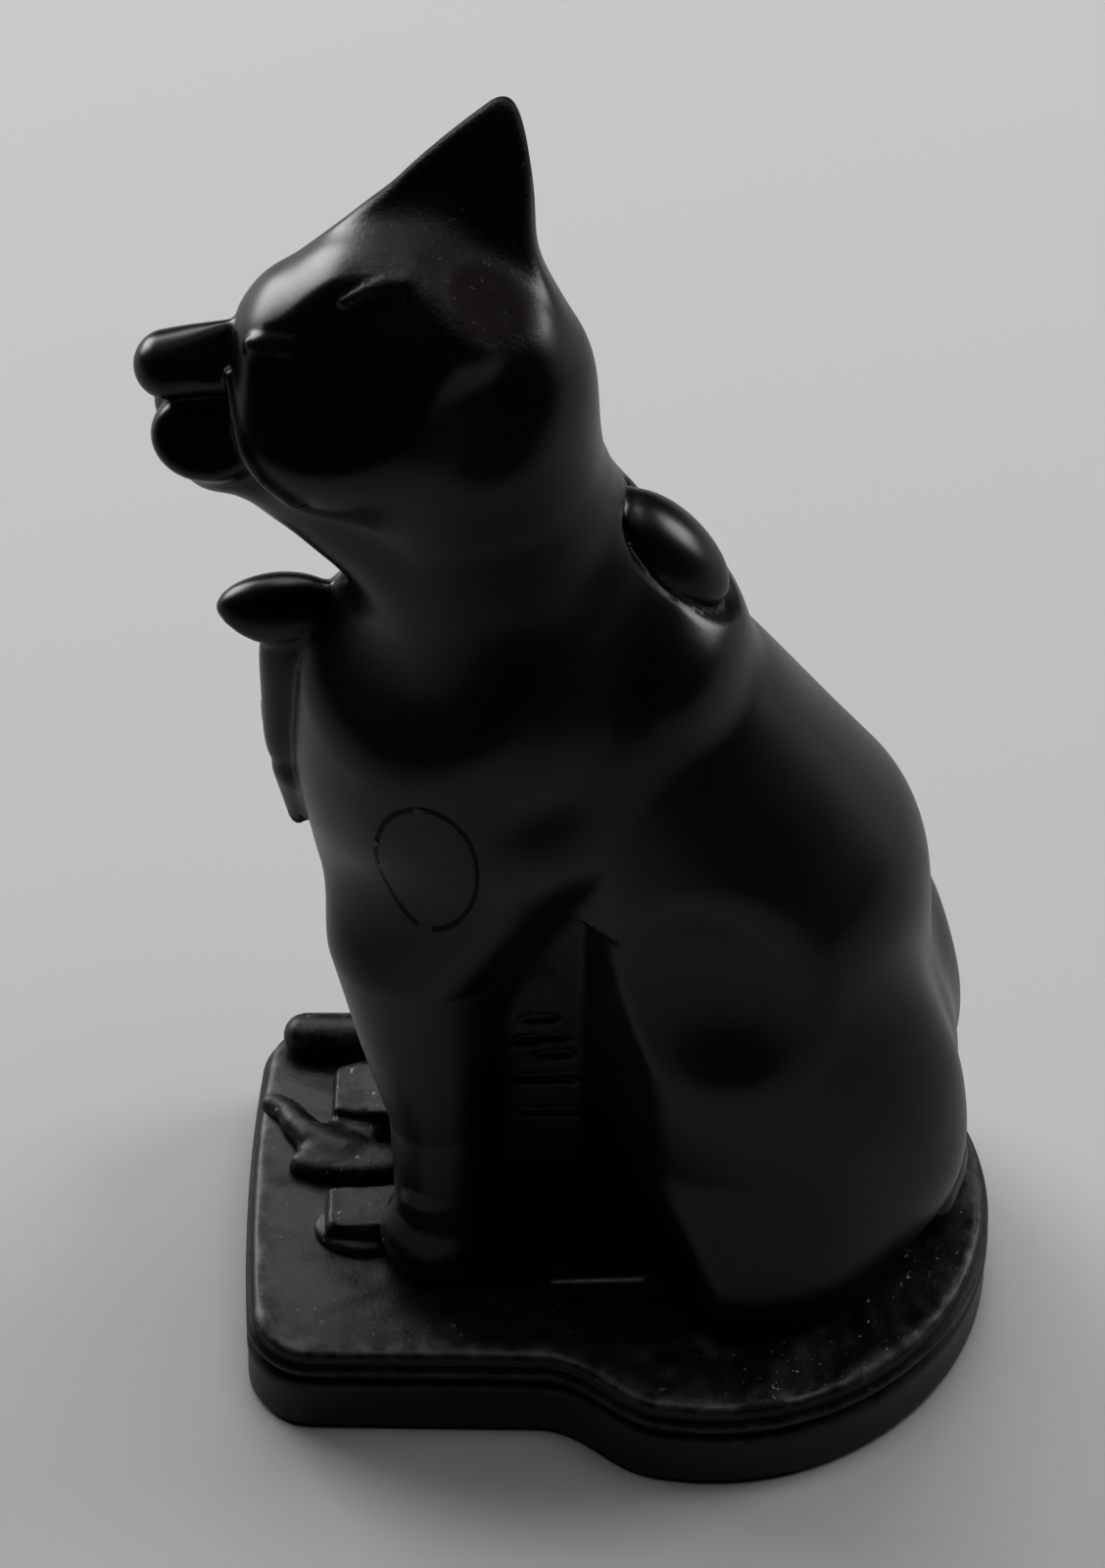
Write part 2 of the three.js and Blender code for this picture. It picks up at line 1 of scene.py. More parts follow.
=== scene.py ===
"""The looks of a small seated cat with its plinth, cast in one piece in black filled resin.

The file is laid out as an add-on and is run as a script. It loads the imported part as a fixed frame, covers
it with a finely modelled casting of the same form, and adds a pale floor, soft light and the camera.
Shapes are worked out in millimetres and put in place in metres. The cat faces -X, its left side is towards
-Y and +Z is up. The cat's forms are measured from the plinth's top, and the plinth from its underside.
"""
import math

import bpy
import numpy as np
from mathutils import Matrix, Vector


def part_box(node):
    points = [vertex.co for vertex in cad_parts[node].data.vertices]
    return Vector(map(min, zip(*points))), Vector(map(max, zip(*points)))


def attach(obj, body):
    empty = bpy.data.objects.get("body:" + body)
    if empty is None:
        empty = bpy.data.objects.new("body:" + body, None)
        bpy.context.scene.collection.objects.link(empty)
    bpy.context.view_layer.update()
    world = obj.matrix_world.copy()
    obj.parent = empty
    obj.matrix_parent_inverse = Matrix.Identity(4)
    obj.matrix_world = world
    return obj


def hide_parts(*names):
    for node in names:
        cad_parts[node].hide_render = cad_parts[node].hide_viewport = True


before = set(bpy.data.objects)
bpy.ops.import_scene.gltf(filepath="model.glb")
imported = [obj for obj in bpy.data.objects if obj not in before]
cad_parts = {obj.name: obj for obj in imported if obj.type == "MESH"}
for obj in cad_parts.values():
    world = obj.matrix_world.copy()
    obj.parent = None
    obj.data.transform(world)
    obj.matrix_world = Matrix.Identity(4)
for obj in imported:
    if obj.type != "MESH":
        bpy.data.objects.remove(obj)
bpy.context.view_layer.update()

bl_info = {
    "name": "Seated cat casting",
    "version": (1, 0, 0),
    "blender": (4, 5, 0),
    "location": "3D View > Sidebar > Seated cat",
    "description": "Builds a seated cat figure with its plinth, and a small studio for it",
    "category": "Add Mesh",
}

MM = 0.001
NODE = "cat_figure"
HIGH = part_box(NODE)[1]

CAT_HEIGHT = 138.6  # mm from the plinth's top to the tip of the ear, as the cat's forms are written
CAT_SUNK = 1.2  # mm that the cat goes down into the plinth
LATTICE_BOTTOM = -2.6  # mm, below the cat's cut-off foot
PROFILE_HEIGHT = 11.4  # mm that the plinth's moulding is high, as its rows are written

CAMERA_AT = Vector((-0.00775, -0.3181, 0.4135))  # metres
CAMERA_ELEVATION = 47.0  # degrees that the camera looks down
CAMERA_ROLL = 0.77  # degrees that the camera leans to its left
CAMERA_LENS, CAMERA_SENSOR = 113.3, 36  # mm, the sensor along the picture's long side
CARD_BEHIND = 0.35  # metres from the camera back to the black card
CARD_HALF = 0.55, 0.4  # metres, half the card's width and height

# Each light's place, its width and height, all in metres, and its power in watts.
SOFTBOXES = {
    "window": ((-0.88, 0.74, 0.48), (0.68, 0.68), 10),
    "right window": ((1.06, 0.39, 0.5), (0.5, 0.5), 5),
    "back wall": ((-0.1, 0.75, 0.85), (0.9, 0.4), 2.5),
    "ceiling": ((0.1, 0.25, 1.5), (1.2, 1.2), 14),
}
LIGHTS_FACE = Vector((0, 0, 0.07))  # metres, the middle of the figure
ROOM_COLOUR, ROOM_STRENGTH = "#9aa2a6", 0.08
FLOOR_RADIUS = 3.0  # metres
FLOOR_SHADE = "#2a2a2a"  # the floor's colour where its painted shade is darkest
FLOOR_SHADE_BEGINS, FLOOR_SHADE_FULL = -0.14, -0.4  # metres along Y
FELT = "#050505"

# The noises in the resin, each with its size in mm, detail and roughness: clouds in the polish, patches of
# wear and of brown, grit, and grains of stone powder.
RESIN_NOISES = (9, 3, 0.55), (2.2, 4, 0.65), (0.5, 3, 0.6), (0.7, 2, 0.5)
GRIT_DEPTH = 0.12  # mm
SCRATCH_DEPTH = 0.3  # mm
SCRATCH_HALF_WIDTH = 0.045  # as a share of the scratched ring's half size
SCRATCH_GAPS = 3  # mm, the size of the noise that breaks the scratch


# Colours

def linear(hex_colour):
    """An sRGB hex colour as linear red, green, blue and full alpha."""
    parts = [int(hex_colour[i:i + 2], 16) / 255 for i in (1, 3, 5)]
    return [c / 12.92 if c <= 0.04045 else ((c + 0.055) / 1.055) ** 2.4 for c in parts] + [1.0]


def length_setting(name, description, millimetres):
    """A size in metres that a user can change."""
    return bpy.props.FloatProperty(
        name=name, description=description, default=millimetres * MM, min=0, unit="LENGTH", precision=5)


def colour_setting(name, description, hex_colour):
    """A colour that a user can change."""
    return bpy.props.FloatVectorProperty(
        name=name, description=description, default=linear(hex_colour), size=4, subtype="COLOR",
        min=0, max=1)


class CastingSizes(bpy.types.PropertyGroup):
    """Sizes of the cat and its plinth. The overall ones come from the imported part."""

    total_height: length_setting("Height", "From the underside to the tip of the ear", HIGH.z / MM)
    plinth_length: length_setting("Plinth length", "From the front edge to the round back", 2 * HIGH.x / MM)
    plinth_width: length_setting("Plinth width", "Across the round back", 2 * HIGH.y / MM)
    plinth_height: length_setting("Plinth height", "From the underside to the top", PROFILE_HEIGHT)
    front_width: length_setting("Front width", "Across the square front of the plinth", 45.8)
    corner_radius: length_setting("Corner radius", "Of the plinth's two front corners", 7)
    waist_length: length_setting("Waist length", "Of the curve between the front and the round back", 12)
    body_facet: length_setting("Body facet", "Size of the mesh's facets on the body", 0.74)
    head_facet: length_setting("Head facet", "Size of the mesh's facets on the head", 0.46)


class CastingColours(bpy.types.PropertyGroup):
    """Colours of the resin and of the studio."""

    resin: colour_setting("Resin", "Near-black resin with a satin polish", "#0d0e0f")
    warm: colour_setting("Warm resin", "Brown undertone where the black is thin", "#241312")
    rubbed: colour_setting("Rubbed edge", "Grey of edges and corners that are rubbed", "#5a5a58")
    dust: colour_setting("Stone powder", "Pale grains of the filler that show in pits", "#a8a6a0")
    floor: colour_setting("Floor", "Pale studio floor", "#a3a5a2")


# The cat's forms

# Each form has a place in mm, and a blend, the width of the fillet where it joins or cuts the forms before
# it. Its side says whether it stands as written, on the near side or on both sides.

FRACTURE = (-16, 7.3, 124.7), (0.45, 0.41, 0.79)  # a point where the left ear broke off, and its facing
FRACTURE_MIDDLE = (-13.6, -4, 125)  # of the break's rough patch
RING = (-19.2, -15.6, 77.7), (4.7, 18, 8.1)  # middle, from the plinth's underside, and half sizes


def egg(name, at, half, lean=0, square=2, blend=1.0, side="mid", cut=False):
    """An ellipsoid whose top leans forward by lean degrees.

    With square over 2 it is still round from above, and its top and bottom are flatter with rounded rims.
    """
    return {"kind": "egg", "name": name, "at": at, "half": half, "lean": lean, "square": square,
            "blend": blend, "side": side, "cut": cut}


def limb(name, start, end, radii, blend=1.0, side="mid", cut=False):
    """A rounded bar between two points, with a radius at each."""
    return {"kind": "limb", "name": name, "at": start, "end": end, "radii": radii,
            "blend": blend, "side": side, "cut": cut}


def flat(name, at, facing, blend=1.0, side="mid"):
    """A flat cut: takes away all that lies beyond a plane through a point, on the side that it faces."""
    return {"kind": "flat", "name": name, "at": at, "facing": facing,
            "blend": blend, "side": side, "cut": True}


def group(name, forms, blend=1.0, side="mid", cut=False):
    """Forms that are joined and cut among themselves before they join or cut the rest."""
    return {"kind": "group", "name": name, "forms": forms,
            "blend": blend, "side": side, "cut": cut}


def chain(name, points, radii, blend=1.0, side="mid"):
    """Limbs end to end through the points.

    With two radii the radius goes evenly from one to the other, and otherwise each point has its own.
    """
    steps = np.linspace(radii[0], radii[-1], len(points)) if len(radii) == 2 else radii
    pairs = zip(points, points[1:], steps, steps[1:])
    limbs = [limb(name, a, b, (ra, rb), blend=0) for a, b, ra, rb in pairs]
    return group(name, limbs, blend=blend, side=side)


def rounded(points, steps=3):
    """More points, on the smooth curve through the points.

    Each stretch is a cubic curve from b to c. Its slope at b is half the way from a, the point before, to c,
    and its slope at c is half the way from b to d, the point after.
    """
    ends = np.array([points[0], *points, points[-1]], float)
    t = (np.arange(steps) / steps)[:, None]
    parts = []
    for a, b, c, d in zip(ends, ends[1:], ends[2:], ends[3:]):
        square = (2 * a - 5 * b + 4 * c - d) / 2
        cube = (3 * b - a - 3 * c + d) / 2
        parts.append(b + t * (c - a) / 2 + t ** 2 * square + t ** 3 * cube)
    return [*np.concatenate(parts).tolist(), list(points[-1])]


def on_panel(x, z):
    """A point on the recessed panel, which leans out towards its top."""
    return x, 5 + 0.12 * z, z


def trunk_forms():
    """Rump, back, chest, neck and haunches, and the recessed panel between haunch and foreleg."""
    recess = [
        egg("reach", (-6, 30, 20), (30, 30, 60)),
        flat("panel", (-8, 8.6, 30), (0, -1, 0.12), blend=0.5),
        flat("front of the haunch", (-4.5, 9, 32), (0.725, -0.675, 0.085), blend=0.5),
        flat("behind the foreleg", (-13.5, 9, 30), (-0.993, 0, 0.116), blend=0.5),
        flat("top", (-7, 9, 57), (0.35, 0, 0.93), blend=0.5),
    ]
    strokes = [((-10.2, 37.5), (-7.6, 37.9)), ((-11.6, 33.9), (-6.6, 34.5)), ((-8.4, 31.4), (-6, 31.7)),
               ((-12.5, 27), (-5.2, 27.6)), ((-10.4, 21), (-4.6, 21.5))]
    return [
        egg("rump", (13, 0, 20.6), (20.3, 17.5, 27), blend=0),
        limb("back", (10, 0, 48.6), (-2.4, 0, 75), (18.7, 13.4), blend=9),
        egg("chest", (-17.5, 0, 60.6), (13.6, 13, 27), lean=6, blend=8),
        limb("neck", (-10.5, 0, 80.6), (-14.6, 0, 101), (14, 11.3), blend=5),
        egg("haunch", (13.5, 8, 31.6), (17.8, 11, 32), lean=22, blend=2, side="both"),
        egg("hip", (12, 9.5, 7), (15, 11, 16), blend=4, side="both"),
        egg("seat", (15.5, 0, 6), (17.5, 13, 15), blend=4),
        egg("web between the legs", (-5, 0, 26.6), (14, 10.5, 38), blend=1.2),
        egg("foot of the web", (-12, 0, 0), (6.5, 7.5, 14), blend=2),
        egg("dimple of the haunch", (6.8, 21.6, 51.4), (13.5, 7, 13.5), blend=2.5, side="both", cut=True),
        group("recess", recess, blend=0.7, side="both", cut=True),
        *[limb("stroke on the panel", on_panel(*a), on_panel(*b), (0.75, 0.75), blend=0.4, side="both",
               cut=True) for a, b in strokes],
    ]


def leg_forms():
    """Shoulders, forelegs and all the feet. The two forepaws are blocks that lie unevenly."""
    foreleg = [(-9.5, 8.2, 67.5), (-20.4, 7.8, 49), (-19.5, 8.3, 36.5), (-18.4, 8.7, 23.5),
               (-18.2, 8.7, 1.6)]
    drum = [
        egg("shoulders and chest", (-15.5, 0, 75), (15, 16.2, 15.6), lean=2, square=3.4),
        flat("collar", (-26.3, 12, 77), (-0.5, 0.55, 0.67), blend=2, side="both"),
    ]
    near_paw = [
        egg("block", (-25, -5.6, 0), (8.5, 5, 6)),
        flat("top", (-26, -5.5, 3.1), (-0.12, -0.03, 1), blend=0.4),
        flat("near side", (-26, -8.3, 1.5), (-0.1, -1, 0.12), blend=0.4),
        flat("front", (-30.4, -5.5, 1.5), (-1, 0, 0.16), blend=0.4),
        flat("side towards the ridge", (-26, -2.5, 1.5), (0, 1, 0.12), blend=0.4),
    ]
    far_paw = [
        egg("block", (-25, 9.4, 0), (8.5, 5.6, 6)),
        flat("top", (-26, 9.4, 3.1), (-0.12, 0, 1), blend=0.4),
        flat("side towards the ridge", (-26, 6.7, 1.5), (-0.2, -1, 0.12), blend=0.4),
        flat("front", (-30.2, 9.4, 1.5), (-1, 0, 0.16), blend=0.4),
    ]
    return [
        group("shoulders", drum, blend=6),
        limb("withers", (-6.5, 0, 89.6), (0.8, 0, 81.6), (9, 9), blend=3),
        limb("shoulder blade", (0.5, 3.6, 80.4), (-9.5, 8.2, 67.5), (8.6, 8.4), blend=1.6, side="both"),
        chain("foreleg", foreleg, (8.4, 8.7, 7.1, 5.2, 4.6), blend=3, side="both"),
        limb("hind foot", (6, 12.8, 0.2), (-7, 13, 0), (2.5, 1.7), blend=0.6, side="both"),
        egg("wrist", (-19, 9.2, 4.5), (5.6, 5, 6), blend=0.8, side="both"),
        egg("heel", (-19.6, 12, 13), (2.6, 1.8, 2), blend=0.6, side="near"),
        group("near forepaw", near_paw, blend=0.5),
        group("far forepaw", far_paw, blend=0.5),
        egg("toe slab", (-26.5, -6, 0), (5.2, 3.6, 1.2), square=4, blend=0.3),
        egg("far toe slab", (-27.8, 6.4, 0), (3, 2.4, 1.7), square=4, blend=0.3),
    ]


def head_forms():
    """Skull with sloping cheeks, muzzle, nose, eyes, the right ear and the stump of the left one."""
    face = [
        egg("skull", (-20.2, 0, 112.8), (16, 12, 12.5), lean=-8),
        egg("cheek", (-26, 4.6, 110.6), (10.5, 6.8, 7.6), blend=3, side="both"),
        limb("forehead", (-25.8, 0, 114.3), (-21.5, 0, 117.4), (10.7, 10.8), blend=1),
        limb("crown", (-21.5, 0, 117.4), (-15, 0, 116.4), (10.8, 8.4), blend=1),
        limb("ear root", (-21.5, 4.4, 124), (-16, 6.5, 121.6), (2.6, 3.2), blend=2.5, side="both"),
        flat("temple", (-26.5, 4.1, 126), (-0.3, 0.83, 0.47), blend=0.5, side="both"),
        flat("front of the cheek", (-35.9, 4, 117), (-1, 0.1, 0), blend=0.9, side="both"),
        flat("front of the jaw", (-34.8, 6.7, 108.5), (-0.81, 0.1, -0.57), blend=0.9, side="both"),
        egg("hollow behind the jaw", (-12, 13.7, 120.5), (6, 5.2, 9), blend=4, side="both", cut=True),
        flat("fracture of the left ear", *FRACTURE, blend=0.8, side="near"),
    ]
    nose = [
        limb("bridge", (-32, 0, 115.8), (-41.5, 0, 113.7), (4, 3.1), blend=0),
        flat("side of the nose", (-38, 1.9, 116.9), (-0.06, 0.74, 0.67), blend=0.5, side="both"),
    ]
    ear = [
        egg("thickness of the ear", (-14.6, 6.8, 119.4), (13, 5.4, 20.4)),
        flat("inner face", (-14, 2.6, 130), (-0.1, -0.9, 0.42), blend=0.8),
        flat("front edge", (-20.7, 5, 132.4), (-0.717, 0.513, 0.478), blend=1.4),
        flat("front of the tip", (-15.6, 6.4, 137.2), (-0.51, 0.628, 0.586), blend=2),
        flat("rear edge", (-10.1, 6.5, 128), (1, 0, 0.04), blend=1.2),
        flat("rear of the tip", (-10.8, 6, 137), (0.886, 0.339, 0.316), blend=2),
        egg("ear hollow", (-18.5, 12.8, 127.6), (4.5, 3.4, 8), lean=-14, blend=1, cut=True),
    ]
    lip = [
        egg("whisker pad", (-37.8, 2.2, 107.7), (5.4, 4.4, 4.4)),
        flat("side of the lip", (-38.5, 5.1, 108.5), (-0.2, 0.84, 0.5), blend=0.8),
    ]
    brow = [(-26, 4.7, 125.2), (-24, 4.7, 126.6), (-22.4, 4.7, 127.4), (-20.7, 4.8, 127.6)]
    rim = [(-20.3, 3.2, 127), (-18.7, 4.8, 125.9), (-16.4, 6.3, 123.9), (-15, 7, 121.9)]
    cheek_edge = [(-35.9, 3.6, 115.6), (-35.3, 5.9, 113.4), (-34.4, 8.3, 111.2), (-32.8, 9.4, 109),
                  (-30.4, 10, 107.1)]
    return [
        group("head", face, blend=5),
        limb("throat", (-28, 0, 102.6), (-15.2, 0, 91), (6.8, 8.6), blend=3),
        limb("jaw", (-36.6, 0, 104.8), (-28, 0, 103.4), (4.3, 6.5), blend=1.5),
        limb("muzzle", (-31, 0, 108.4), (-38, 0, 107), (6.4, 3.8), blend=0.8),
        group("lip", lip, blend=0.9, side="both"),
        egg("chin", (-37.6, 0, 104.4), (3.7, 4.2, 4), blend=1),
        group("nose", nose, blend=0.6),
        limb("eye", (-34, 4.1, 119.9), (-30.4, 5.1, 120.6), (0.5, 0.8), blend=0.8, side="near"),
        limb("lid line", (-34.9, 3.7, 121.6), (-30.2, 5.2, 122.4), (0.5, 0.3), blend=0.5, side="near",
             cut=True),
        limb("right eye", (-33.4, 5.7, 118.2), (-30.2, 6.3, 119), (0.5, 0.8), blend=0.8),
        group("right ear", ear, blend=3.5),
        chain("brow", brow, (0.35, 0.55), blend=0.7, side="near"),
        chain("broken edge of the left ear", rim, (0.7, 0.9), blend=2, side="near"),
        chain("edge of the cheek", cheek_edge, (0.45, 0.7), blend=1, side="near"),
    ]


def ornament_forms():
    """The beetle on the back, the amulet on the chest, the ridge between the paws and the tail."""
    tail = [(31, -3, 3), (32.6, 2.6, 2.9), (31.5, 8, 2.8), (29.2, 13.2, 2.65), (25.5, 17.5, 2.5),
            (19.6, 20.8, 2.4), (12, 22.3, 2.3), (3, 22.1, 2.25), (-6, 20.8, 2.2), (-20, 18.6, 2),
            (-33.5, 18.4, 1.8)]
    ridge = [(-36.6, 10.2, 0.2), (-34.8, 8.8, 0.4), (-33.9, 7.2, 0.5), (-32.3, 5.2, 0.6), (-29, 3.4, 0.6)]
    hood = [
        egg("hood", (-32.7, 0, 84), (6.1, 2.9, 3.6), lean=5),
        flat("hollow under the hood", (-37, 0, 82.6), (-0.5, 0, -0.86), blend=1),
    ]
    amulet = [
        group("hood", hood),
        egg("body", (-31.4, 0, 73), (3.5, 2.7, 9.6), square=4, blend=0.8),
        egg("leaf", (-34, 2.4, 68.5), (1.2, 1, 4.2), blend=0.3),
        limb("drop", (-31.1, 0, 63.6), (-31.9, 0, 56.4), (3.1, 0.9), blend=0.4),
    ]
    return [
        egg("groove round the beetle", (3, 0, 92), (8.8, 5.4, 1.3), lean=-47, blend=0.8, cut=True),
        egg("beetle", (2.2, 0, 92.2), (7.8, 4.4, 3.5), lean=-47, blend=0.5),
        group("amulet", amulet, blend=0.8),
        chain("ridge between the paws", ridge, (1.3, 2), blend=1.2),
        egg("flat of the ridge", (-27.5, 2, 0), (7, 2.4, 2.2), square=4, blend=1.2),
        chain("tail", rounded(tail), (3.2, 2.3), blend=1),
    ]


# Distances

def egg_distance(x, y, z, form):
    """The scaled length less one, over its slope, which near zero is the true distance.

    The scaled length is the p-th root of r to the p plus h to the p, where p is the form's square, r is the
    length across and h the length upwards, each divided by the egg's half size.
    """
    dx, dy, dz = (c - m for c, m in zip((x, y, z), form["at"]))
    lean = math.radians(form["lean"])
    dx, dz = dx * math.cos(lean) + dz * math.sin(lean), dz * math.cos(lean) - dx * math.sin(lean)
    a, b, c = form["half"]
    p = form["square"]
    across = np.sqrt((dx / a) ** 2 + (dy / b) ** 2) + 1e-9
    up = np.abs(dz / c) + 1e-9
    scaled = (across ** p + up ** p) ** (1 / p)
    slope_across = (across / scaled) ** (p - 1) * np.sqrt((dx / a ** 2) ** 2 + (dy / b ** 2) ** 2) / across
    slope_up = (up / scaled) ** (p - 1) / c
    return (scaled - 1) / np.maximum(np.hypot(slope_across, slope_up), 1e-9)


def limb_distance(x, y, z, form):
    """Distance to two balls and the cone that touches both.

    s runs along the middle line, r is the distance from that line and along is the place on the cone.
    """
    start, end = np.array(form["at"], float), np.array(form["end"], float)
    length = np.linalg.norm(end - start)
    way = (end - start) / length
    a, b, c = x - start[0], y - start[1], z - start[2]
    s = a * way[0] + b * way[1] + c * way[2]
    r = np.sqrt(np.maximum(a ** 2 + b ** 2 + c ** 2 - s ** 2, 0))
    first, last = form["radii"]
    slope = (first - last) / length
    rise = math.sqrt(1 - slope ** 2)
    along = s * rise - r * slope
    side = r * rise + s * slope - first
    near_end = np.where(along < 0, np.hypot(s, r) - first, side)
    return np.where(along > length * rise, np.hypot(s - length, r) - last, near_end)


def flat_distance(x, y, z, form):
    """Distance to a plane: negative beyond it, on the side that it faces."""
    facing = np.array(form["facing"], float) / np.linalg.norm(form["facing"])
    return -sum((c - m) * f for c, m, f in zip((x, y, z), form["at"], facing))


def smooth_min(a, b, blend):
    """The smaller of two distances, rounded off over the width of the fillet."""
    if blend <= 0:
        return np.minimum(a, b)
    h = np.clip(0.5 + 0.5 * (b - a) / blend, 0, 1)
    return b + (a - b) * h - blend * h * (1 - h)


def group_distance(x, y, z, form):
    """The forms joined and cut in turn."""
    distance = np.full(len(x), 1e3)
    for part in form["forms"]:
        v = {"both": np.abs(y), "near": -y, "mid": y}[part["side"]]
        shape = DISTANCES[part["kind"]](x, v, z, part)
        if part["cut"]:
            distance = -smooth_min(-distance, shape, part["blend"])
        else:
            distance = smooth_min(distance, shape, part["blend"])
    return distance


DISTANCES = {"egg": egg_distance, "limb": limb_distance, "flat": flat_distance, "group": group_distance}


def field_of(forms, floor):
    """The joined forms as a function of points that is negative inside.

    They are a little uneven, as if modelled by hand, and all below the floor is cut off.
    """

    def field(points):
        x, y, z = points.T
        uneven = 0.05 * ripple(points, wavelength=15, seed=3)
        return np.maximum(group_distance(x, y, z, {"forms": forms}) - uneven, floor - z)

    return field


# The surface of a field

class Lattice:
    """A lattice round the cat that leans forward and tapers upwards with it, and is finer at the head."""

    reach = {"ahead": 42, "behind": 42, "aside": 31}  # mm from the middle line at the body
    lean_between = (30, 100)  # heights between which it leans forward
    lean_reach = 22  # mm that it leans forward in all
    neck_between = (84, 100)  # heights between which its steps shrink to the head's
    top = 142  # mm
    off_middle = 0.37  # steps that it stands off the cat's middle plane

    def __init__(self, body_step, head_step, bottom):
        self.body_step, self.head_step = body_step, head_step
        heights = [bottom]
        while heights[-1] < self.top:
            heights.append(heights[-1] + float(self.step_at(heights[-1])))
        self.heights = np.array(heights)
        self.ahead, self.behind, self.aside = (int(self.reach[k] / body_step) for k in self.reach)
        self.shape = (self.ahead + self.behind, 2 * self.aside, len(heights))

    def step_at(self, z):
        """The step across at a height."""
        return self.body_step + (self.head_step - self.body_step) * smooth_step(z, *self.neck_between)

    def place(self, index):
        """Millimetres of lattice places, which may lie between lattice points."""
        z = np.interp(index[:, 2], np.arange(len(self.heights)), self.heights)
        step = self.step_at(z)
        middle = -self.lean_reach * smooth_step(z, *self.lean_between)
        x = (index[:, 0] - self.ahead) * step + middle
        y = (index[:, 1] - self.aside + self.off_middle) * step
        return np.column_stack([x, y, z])


def smooth_step(value, start, end):
    """From 0 at start to 1 at end, level at both."""
    t = np.clip((value - start) / (end - start), 0, 1)
    return t * t * (3 - 2 * t)


def lattice_values(field, lattice, block=4, near_blocks=2.2, far=9.0):
    """The field at the lattice points, worked out only in the blocks near the surface.

    A block is near where the field at its corner is less than some block lengths, or beside such a block.
    The others hold the far distance with their corner's sign.
    """
    shape = lattice.shape
    coarse_axes = [np.append(np.arange(0, n - 1, block), n - 1) for n in shape]
    coarse_index = np.stack(np.meshgrid(*coarse_axes, indexing="ij"), -1).reshape(-1, 3)
    coarse = field(lattice.place(coarse_index.astype(float))).reshape([len(a) for a in coarse_axes])
    step = lattice.step_at(lattice.heights[coarse_axes[2]])
    grown = np.abs(coarse) < near_blocks * block * step
    for axis in range(3):
        grown |= np.roll(grown, 1, axis) | np.roll(grown, -1, axis)
    owner = [np.minimum(np.arange(n) // block, len(a) - 1) for n, a in zip(shape, coarse_axes)]
    wanted = grown[np.ix_(*owner)]
    values = np.sign(coarse)[np.ix_(*owner)] * far
    parts = np.array_split(np.argwhere(wanted), 8)
    values[wanted] = np.concatenate([field(lattice.place(part.astype(float))) for part in parts])
    return values


def surface_of(field, lattice):
    """The closed surface where a field is zero, as points and quads.

    Each lattice cell that the surface crosses holds one point: the mean of the crossings of the cell's
    edges, which then slides down the field's slope onto the surface. Each lattice edge that it crosses gives
    a quad through the four cells round that edge.
    """
    values = lattice_values(field, lattice)
    inside = values < 0
    corners = np.array([[i, j, k] for k in (0, 1) for j in (0, 1) for i in (0, 1)])
    cut = [slice(0, -1), slice(1, None)]
    at_corner = [inside[cut[i], cut[j], cut[k]] for i, j, k in corners]
    mixed = np.any(at_corner, 0) & ~np.all(at_corner, 0)
    cells = np.argwhere(mixed)
    number = np.full(mixed.shape, -1)
    number[mixed] = np.arange(len(cells))
    held = np.stack([values[tuple((cells + corner).T)] for corner in corners], 1)
    total = np.zeros(len(cells))
    mean = np.zeros((len(cells), 3))
    for a, b in [(a, a | bit) for a in range(8) for bit in (1, 2, 4) if not a & bit]:
        crossed = (held[:, a] < 0) != (held[:, b] < 0)
        t = np.where(crossed, held[:, a] / np.where(crossed, held[:, a] - held[:, b], 1), 0)
        mean += crossed[:, None] * (corners[a] + t[:, None] * (corners[b] - corners[a]))
        total += crossed
    points = lattice.place(cells + mean / total[:, None])
    limit = 0.4 * lattice.step_at(points[:, 2])
    for _ in range(3):
        points = points - slope_of(field, points) * np.clip(field(points), -limit, limit)[:, None]
    quads = []
    for axis in range(3):
        one, two = (axis + 1) % 3, (axis + 2) % 3
        low, high = [slice(1, -1)] * 3, [slice(1, -1)] * 3
        low[axis], high[axis] = slice(0, -1), slice(1, None)
        here, there = inside[tuple(low)], inside[tuple(high)]
        edge = np.argwhere(here != there) + 1
        edge[:, axis] -= 1
        ring = []
        for back_one, back_two in ((1, 1), (0, 1), (0, 0), (1, 0)):
            cell = edge.copy()
            cell[:, one] -= back_one
            cell[:, two] -= back_two
            ring.append(number[tuple(cell.T)])
        quad = np.stack(ring, 1)
        outward = here[here != there]
        quads.append(np.where(outward[:, None], quad, quad[:, ::-1]))
    return points, np.concatenate(quads)


def slope_of(field, points, reach=0.05):
    """The field's slope at the points, made one long."""
    slope = np.stack([field(points + step) - field(points - step) for step in np.eye(3) * reach], 1)
    return slope / np.maximum(np.linalg.norm(slope, axis=1, keepdims=True), 1e-9)


def bend_of(field, points, reach=1.1):
    """How sharply the surface bends, per millimetre: over zero on edges and below zero in creases.

    It is three times the mean of the field a short way off along each axis less the field there, over that
    way squared.
    """
    around = sum(field(points + way) + field(points - way) for way in np.eye(3) * reach)
    return (around - 6 * field(points)) / reach ** 2 / 2


def ripple(points, wavelength, seed, waves=20):
    """Smooth random hills about one high: the sum of sine waves in random directions with random phases."""
    random = np.random.default_rng(seed)
    ways = random.normal(size=(waves, 3))
    ways *= 2 * math.pi / wavelength / np.linalg.norm(ways, axis=1, keepdims=True)
    phases = random.uniform(0, 2 * math.pi, waves)
    return np.sin(points @ ways.T + phases).sum(1) / math.sqrt(waves / 2)


# The marks of the surface

